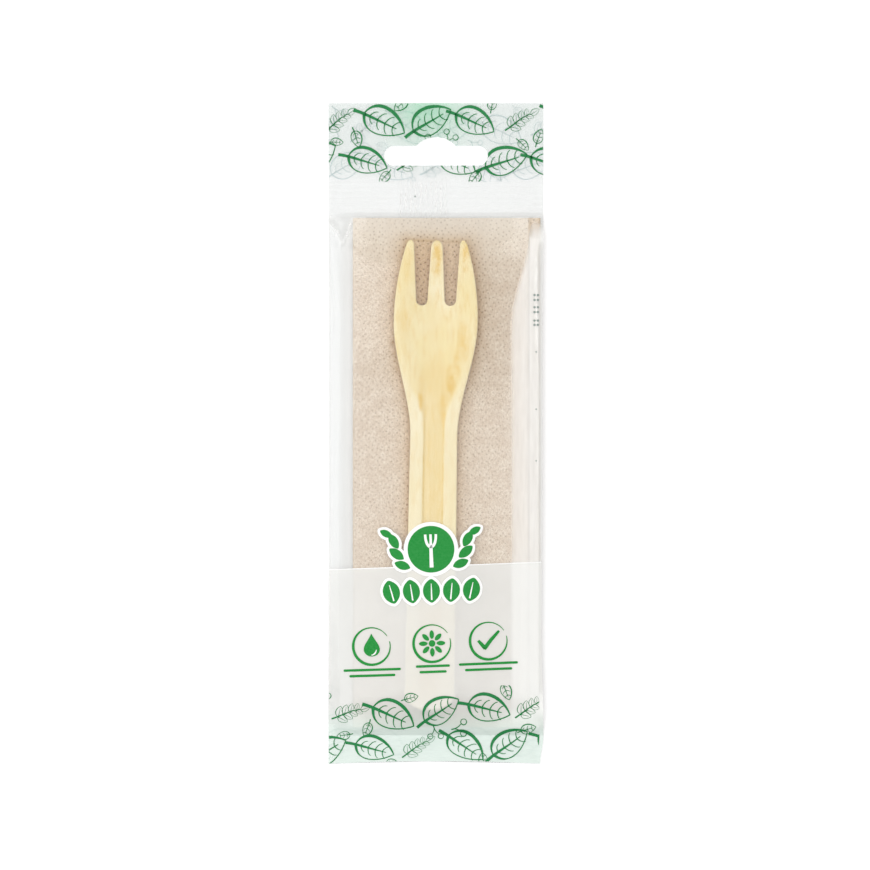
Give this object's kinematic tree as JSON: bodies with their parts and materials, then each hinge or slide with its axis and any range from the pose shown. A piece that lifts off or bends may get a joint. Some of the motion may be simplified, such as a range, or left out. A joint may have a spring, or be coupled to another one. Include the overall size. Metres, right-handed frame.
{
  "type": "wrapped wooden fork and napkin pack",
  "caption": "Pressed wooden fork on a folded paper napkin, sealed in a clear flow-wrapped film pouch with a hang slot in its header.",
  "frame": {"origin": "under the middle of the pack, on the surface that it lies on", "axes": "+Y along the pack towards its header, +Z out of its front, so the pack lies on its back"},
  "size_m": [0.071, 0.218, 0.0088],
  "materials": {
    "film": "clear cast film, glossy, with white and green print",
    "tissue": "embossed unbleached tissue paper, matte",
    "birch": "pressed birch veneer, uncoated, satin"
  },
  "bodies": {
    "root": {"film_pouch": "film", "napkin": "tissue", "fork": "birch"}
  },
  "joints": []
}
